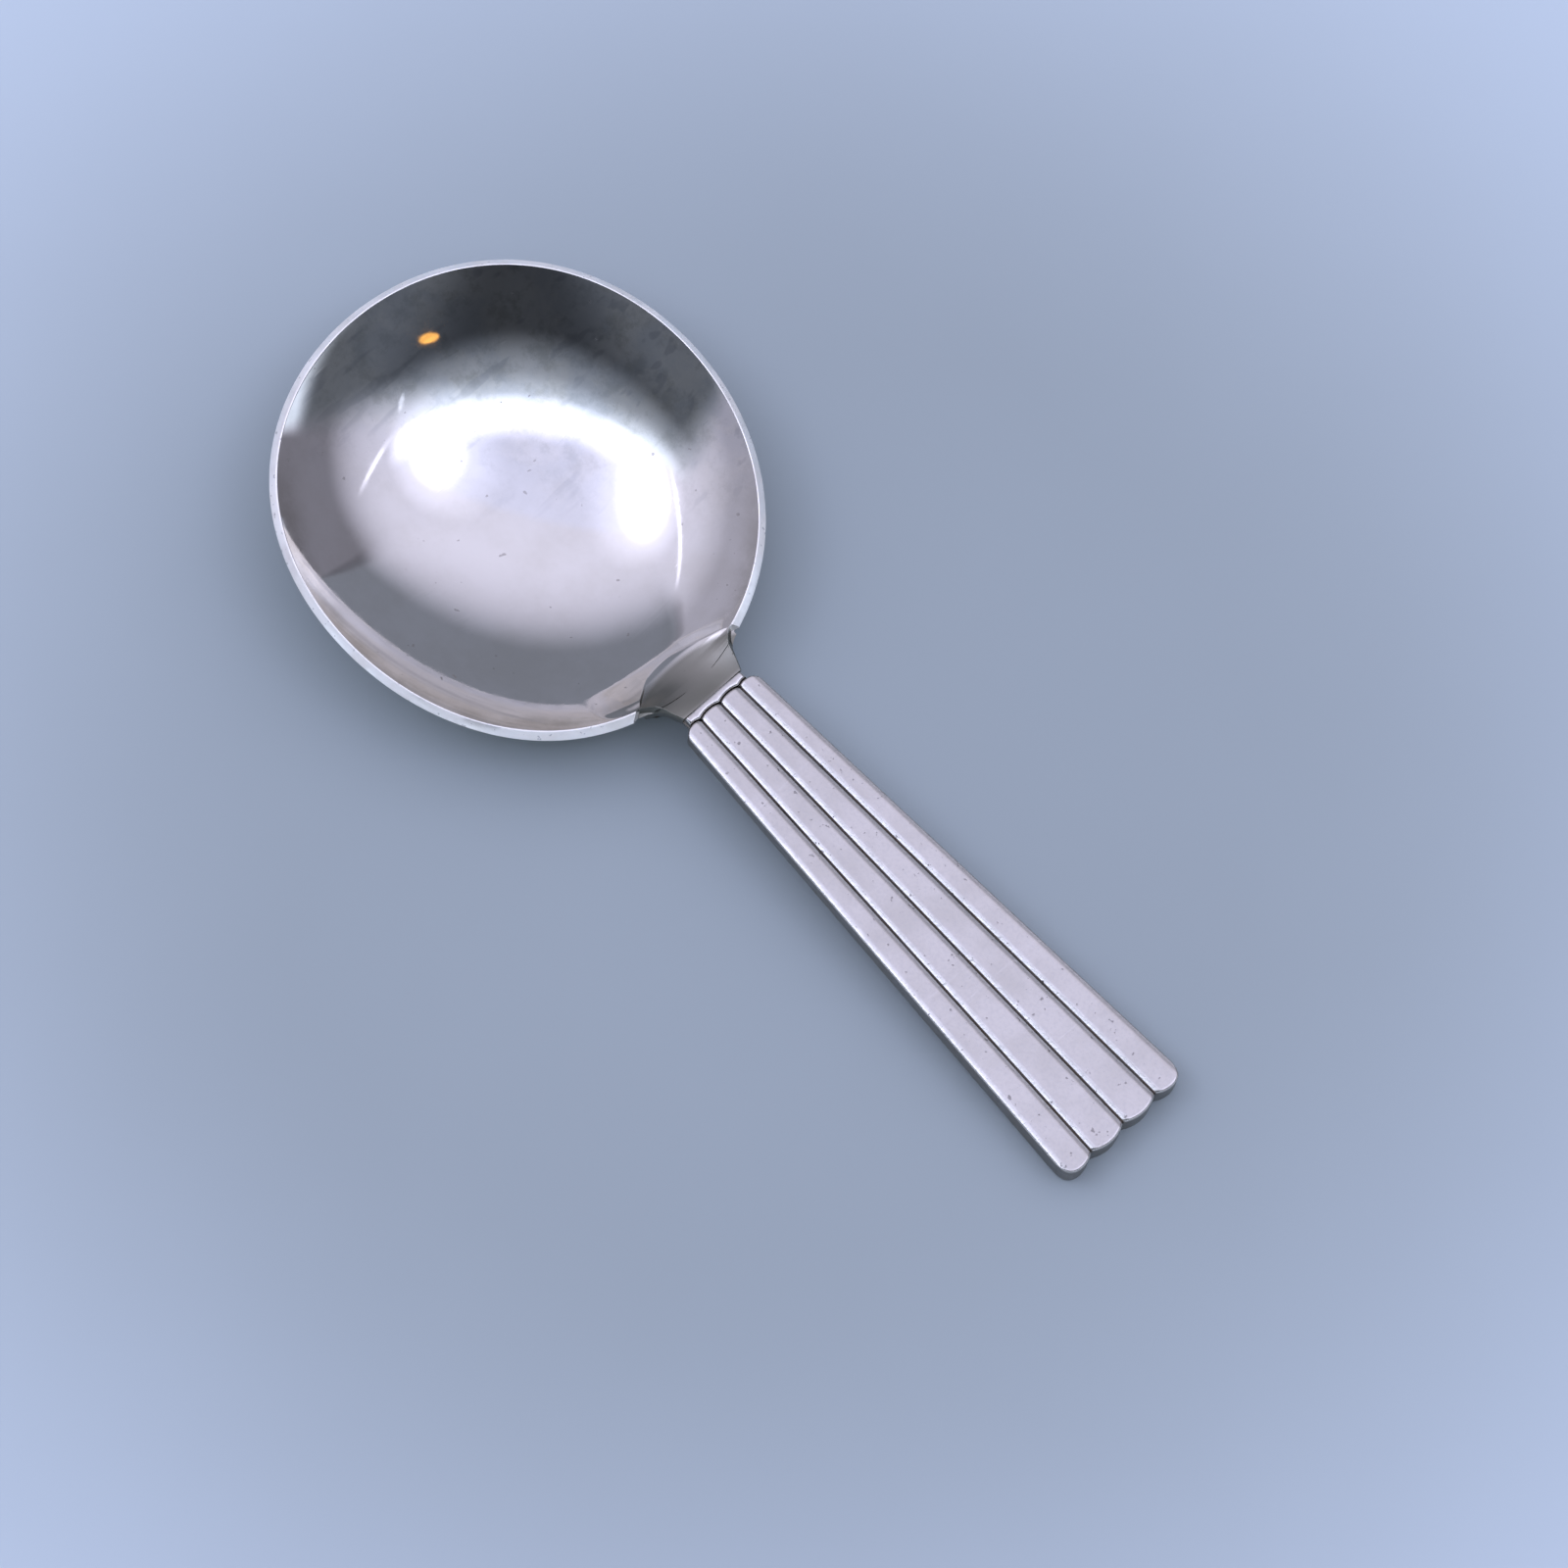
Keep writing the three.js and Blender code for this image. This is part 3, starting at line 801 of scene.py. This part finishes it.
def polished_material():
    """Hand-polished silver, warm and mirror-like. Tarnished colours on its far side, near rim and
    neck ramp also paint in dark and warm reflection.
    """
    material, tree, shader = nodes_of("polished_silver")
    vector = object_vector(tree)
    along, across, above = spoon_parts(tree)
    shader.inputs["Metallic"].default_value = 1.0
    cloud = noise(tree, vector, 160.0, 5.0, 0.6)
    color = mixed(tree, cloud.step(0.3, 0.65), *POLISHED)
    # Painted dark reflection with tarnished mottling: olive, blue-grey and grey patches and streaks
    # darken only the far side of the bowl.
    stains_and_dark_reflection = noise(tree, mapped(tree, vector, shift=(3.1, 0.4, 0.0)), 420.0, 6.0, 0.7)
    far = (across + along * -0.8).step(-4.0, 20.0)
    color = mixed(tree, stains_and_dark_reflection.step(0.46, 0.66) * far * 0.5, color, OLIVE_STAIN_AND_DARK_REFLECTION)
    blotches_and_dark_reflection = noise(tree, mapped(tree, vector, shift=(0.7, 1.9, 0.0)), 75.0, 6.0, 0.7)
    color = mixed(tree, blotches_and_dark_reflection.step(0.44, 0.6) * far * 0.4, color, BLUE_BLOTCH_AND_DARK_REFLECTION)
    streaks = mapped(tree, vector, (1.0, 0.12, 1.0), (0, 0, -0.62), (0.3, 0.2, 0.0))
    streaks = noise(tree, streaks, 620.0, 2.0, 0.5).step(0.6, 0.68)
    color = mixed(tree, streaks * far * 0.45, color, GREY_STREAK_AND_DARK_REFLECTION)
    specks = noise(tree, vector, 1300.0, 1.0, 0.4).step(0.76, 0.79)
    color = mixed(tree, specks * 0.45, color, DARK_SPECK)
    u, v = along / HALF_LENGTH, across / HALF_WIDTH
    # Painted reflection with a warm film: towards the rim on the near side, the bowl is mottled a
    # darker, warmer olive-tan.
    rim = (u * u + v * v).step(0.72, 0.9) * (across - along).step(12.0, -8.0)
    film_and_reflection = noise(tree, vector, 260.0, 5.0, 0.65).step(0.25, 0.7, 0.25, 0.95)
    color = mixed(tree, rim * film_and_reflection, color, RIM_FILM_AND_REFLECTION)
    # Painted dark reflection with tarnished dullness on the neck's ramp: the hollow is coloured
    # dark olive, a little lighter at its middle, and is also rougher.
    lean = across + 0.5
    foot = along - lean * lean * 0.046 - 20.55
    ramp = foot.step(-0.1, 0.75) * along.step(25.5, 25.9, 1.0, 0.75) * above.step(-3.0, -2.7)
    depth = across * across * 0.05 + (along - 22.6) * (along - 22.6) * 0.25
    middle = depth.step(0.1, 1.6, 1.0, 0.0)
    color = mixed(tree, ramp * 0.92, color, mixed(tree, middle, *DULL_RAMP_AND_DARK_REFLECTION))
    tree.links.new(color, shader.inputs["Base Color"])
    fine = noise(tree, vector, 700.0, 4.0, 0.6)
    rough = fine.step(0.35, 0.8, 0.03, 0.085) + ramp * 0.3 + specks * 0.2
    tree.links.new(rough.socket, shader.inputs["Roughness"])
    lines = scratches(tree, vector, 0.6, 900.0, 0.66) + scratches(tree, vector, 2.1, 760.0, 0.68)
    height = noise(tree, vector, 1500.0, 3.0) * 0.6 - lines * 0.6
    roughen(tree, shader, height, 0.000001)
    return material


def satin_material():
    """Matt, lavender-grey silver of the ribs, with bright edges and pits; its grooves and sides are
    darkened in tarnished colours, as painted shade.
    """
    material, tree, shader = nodes_of("satin_silver")
    vector = object_vector(tree)
    along, _, above = spoon_parts(tree)
    shader.inputs["Metallic"].default_value = 1.0
    cloud = noise(tree, vector, 220.0, 5.0, 0.6)
    color = mixed(tree, cloud.step(0.3, 0.65), *SATIN)
    slope = above.step(-0.17, -0.03, 1.0, 0.0) * above.step(-0.24, -0.19)
    color = mixed(tree, slope, color, BRIGHT_EDGE)
    grain = noise(tree, vector, 3200.0, 3.0, 0.6)
    color = mixed(tree, grain.step(0.42, 0.7) * 0.3, color, DARK_GRAIN)
    pits = noise(tree, vector, 1700.0, 2.0, 0.5).step(0.68, 0.74)
    color = mixed(tree, pits * 0.65, color, DARK_PIT)
    # Painted shade with tarnished colours: the groove bottoms and the handle's sides, down to near
    # its lower edge, are darkened grey and brown.
    groove = above.step(-0.42, -0.21, 1.0, 0.0)
    brown = noise(tree, vector, 260.0, 3.0).step(0.42, 0.62)
    streaks = noise(tree, mapped(tree, vector, (0.3, 1.0, 2.0)), 900.0, 5.0, 0.7).step(0.3, 0.75)
    tarnish_and_shade = mixed(tree, brown, mixed(tree, streaks, *GREY_TARNISH_AND_SHADE), BROWN_TARNISH_AND_SHADE)
    lower_edge = along * (-0.9 / 53.5) - 1.85
    side = groove * (above - lower_edge).step(0.1, 0.35)
    color = mixed(tree, side * 0.85, color, tarnish_and_shade)
    tree.links.new(color, shader.inputs["Base Color"])
    fine = noise(tree, vector, 900.0, 4.0, 0.6)
    rough = fine.step(0.3, 0.8, 0.29, 0.41) - slope * 0.14 + pits * 0.15
    tree.links.new(rough.socket, shader.inputs["Roughness"])
    lines = scratches(tree, vector, 1.2, 700.0, 0.66) + scratches(tree, vector, 2.6, 820.0, 0.68)
    height = grain - lines * 0.5 - pits
    roughen(tree, shader, height, 0.000012)
    return material


def worn_material():
    """The rim's cut edge: pale and matt, with thin burnished stretches and nicks."""
    material, tree, shader = nodes_of("worn_silver")
    vector = object_vector(tree)
    shader.inputs["Metallic"].default_value = 0.75
    cloud = noise(tree, vector, 300.0, 5.0, 0.6)
    color = mixed(tree, cloud.step(0.3, 0.65), *WORN)
    nicks = noise(tree, vector, 1900.0, 2.0, 0.5).step(0.66, 0.72)
    color = mixed(tree, nicks * 0.5, color, DARK_NICK)
    tree.links.new(color, shader.inputs["Base Color"])
    burnished = noise(tree, mapped(tree, vector, shift=(1.7, 0.0, 0.0)), 240.0, 3.0, 0.6)
    tree.links.new(burnished.step(0.45, 0.62, 0.58, 0.3).socket, shader.inputs["Roughness"])
    roughen(tree, shader, noise(tree, vector, 2600.0, 3.0) - nicks, 0.000005)
    return material


# Scene


def make_floor():
    mesh = bpy.data.meshes.new("table_top")
    side = TABLE_HALF_SIDE
    mesh.from_pydata(
        [(-side, -side, 0), (side, -side, 0), (side, side, 0), (-side, side, 0)], [], [(0, 1, 2, 3)]
    )
    floor = bpy.data.objects.new("table_top", mesh)
    bpy.context.scene.collection.objects.link(floor)
    material, tree, shader = nodes_of("table")
    vector = object_vector(tree)
    x, y, _ = parts(tree, vector)
    # Painted light falloff: darker round the spoon, lighter towards the table's edges.
    centre, near, far = TABLE_SHADE
    away = ((x - centre) * (x - centre) + y * y).power(0.5)
    mottle = noise(tree, vector, 25.0, 3.0).step(0.2, 0.8, -0.02, 0.02)
    color = mixed(tree, away.step(near, far) + mottle, *TABLE)
    tree.links.new(color, shader.inputs["Base Color"])
    shader.inputs["Roughness"].default_value = 0.75
    shader.inputs["Specular IOR Level"].default_value = 0.2
    mesh.materials.append(material)


def make_camera():
    level = math.cos(CAMERA_ELEVATION)
    back = Vector(
        (
            math.sin(CAMERA_AZIMUTH) * level,
            -math.cos(CAMERA_AZIMUTH) * level,
            math.sin(CAMERA_ELEVATION),
        )
    )
    right = Vector((math.cos(CAMERA_AZIMUTH), math.sin(CAMERA_AZIMUTH), 0.0))
    up = back.cross(right)
    data = bpy.data.cameras.new("camera")
    data.sensor_width = 36.0
    data.lens = CAMERA_LENS
    camera = bpy.data.objects.new("camera", data)
    matrix = Matrix((right, up, back)).transposed().to_4x4()
    matrix.translation = Vector(CAMERA_TARGET) + back * CAMERA_DISTANCE
    camera.matrix_world = matrix
    bpy.context.scene.collection.objects.link(camera)
    bpy.context.scene.camera = camera
    bpy.context.scene.view_settings.view_transform = "Standard"


def spot(x, y, middle, reach, inner=0.1):
    """A soft patch of light in the ceiling plane, from one at its middle to zero."""
    across = (x - middle[0]) / reach[0]
    along = (y - middle[1]) / reach[1]
    return (across * across + along * along).step(inner, 1.0, 1.0, 0.0)


def strip(x, y, first, last):
    """A thin bright edge in the ceiling plane, between two places."""
    lean = (last[0] - first[0]) / (last[1] - first[1])
    away = ((y - first[1]) * -lean + x - first[0]).size()
    ends = y.step(first[1] - 0.1, first[1] + 0.15) * y.step(last[1] - 0.4, last[1], 1.0, 0.0)
    return away.step(STRIP_WIDTH * 0.3, STRIP_WIDTH, 1.0, 0.0) * ends


def between(share, first, second):
    """A number between two others."""
    return first + (second - first) * share


def make_world():
    """A light tent: a pale roof with a bank of light, two sides, a grey back and a dark front.

    Each direction is described by where it meets a ceiling one unit above the spoon, with x to the
    camera's right and y away from it.
    """
    world = bpy.data.worlds.new("studio")
    bpy.context.scene.world = world
    world.use_nodes = True
    tree = world.node_tree
    background = tree.nodes["Background"]
    direction = tree.nodes.new("ShaderNodeTexCoord").outputs["Generated"]
    side, ahead, up = parts(tree, mapped(tree, direction, turn=(0, 0, -CAMERA_AZIMUTH)))
    level = up.most(0.04)
    x, y = side / level, ahead / level
    wide = x.size()
    reach = (x * x + y * y).power(0.5)
    right = x.step(-1.0, 1.0)

    sides = between(right, reach.step(0.9, 2.9, 1.08, 0.56), reach.step(0.9, 2.3, 1.04, 0.28))
    lean_left = x + y * 0.5 + 0.575
    lean_right = y - x + 0.2
    inside = lean_left.step(-0.12, 0.12) * lean_right.step(-0.15, 0.15)
    roof = between(inside, sides, y.step(0.45, 1.8, 1.1, 0.28))
    seam = (lean_left + 0.05).size().least((lean_right + 0.05).size()).step(0.02, 0.14, 0.3, 0.0)
    roof = roof * (seam * y.step(1.1, 1.6, 0.0, -1.0) + 1.0)
    tint = mixed(tree, y.step(0.9, 1.9) * inside, *ROOF_TINTS)
    patch = (y + x * 0.2).step(0.18, 0.26, 1.0, 0.0) * wide.step(0.7, 1.0, 1.0, 0.0)
    tint = mixed(tree, patch, tint, SIDE_TINT)

    away = y + 0.35 - x * x * 0.35
    night = away.step(-0.7, -0.1, 0.065, 0.55) + away.step(-0.3, -0.02, 0.0, 0.8)
    night = night + wide.step(0.3, 1.5, -0.01, 0.1) + reach.step(3.0, 5.0, 0.0, 1.0)
    edge_left = y + wide * 0.4 - 0.47
    edge_right = y + 0.2 - (wide - 1.3).most(0.0) * 0.2
    front = between(right, edge_left - 0.1, edge_right).step(-0.42, 0.16, 1.0, 0.0)
    front = front * away.step(-0.14, 0.0, 1.0, 0.0)
    roof = between(front, roof, night)
    tint = mixed(tree, front, tint, FRONT_TINT)

    bar = away.step(-0.14, -0.04) * away.step(0.03, 0.18, 1.0, 0.0) * wide.step(0.75, 1.0, 1.0, 0.0)
    bright = bar
    for middle, size in LAMPS:
        bright = bright.most(spot(x, y, middle, size))
    roof = roof + bright * LAMP_LIGHT
    for middle, size in LAMPS:
        halo = (size[0] + HALO_REACH, size[1] + HALO_REACH)
        roof = roof + spot(x, y, middle, halo, 0.0) * HALO_LIGHT
    for first, last in STRIPS:
        roof = roof + strip(x, y, first, last) * STRIP_LIGHT
    roof = roof + spot(x, y, *GLINT) * GLINT_LIGHT
    light = tree.nodes.new("ShaderNodeVectorMath")
    light.operation = "SCALE"
    tree.links.new(tint, light.inputs[0])
    tree.links.new(roof.socket, light.inputs["Scale"])
    lantern = spot(x, y, *LANTERN, 0.35)
    color = mixed(tree, lantern, light.outputs[0], LANTERN_COLOUR)
    tree.links.new(color, background.inputs[0])
    background.inputs[1].default_value = 1.0


# The part, its table, camera and light

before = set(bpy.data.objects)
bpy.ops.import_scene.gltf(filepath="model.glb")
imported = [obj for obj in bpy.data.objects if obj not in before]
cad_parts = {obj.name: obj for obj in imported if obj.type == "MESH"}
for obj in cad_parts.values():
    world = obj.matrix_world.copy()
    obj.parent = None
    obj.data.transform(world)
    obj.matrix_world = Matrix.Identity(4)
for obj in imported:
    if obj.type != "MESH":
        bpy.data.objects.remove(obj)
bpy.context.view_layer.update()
bowl = make_bowl()
neck = make_neck()
collar = make_collar()
handle = make_handle()
polished = polished_material()
satin = satin_material()
worn = worn_material()
for piece, node, material in (
    (bowl, "bowl", polished),
    (neck, "neck", polished),
    (collar, "collar", satin),
    (handle, "handle", satin),
):
    piece.data.materials.append(material)
    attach(piece, "root")
    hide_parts(node)
bowl.data.materials.append(worn)
mark_land(bowl)
make_floor()
make_camera()
make_world()
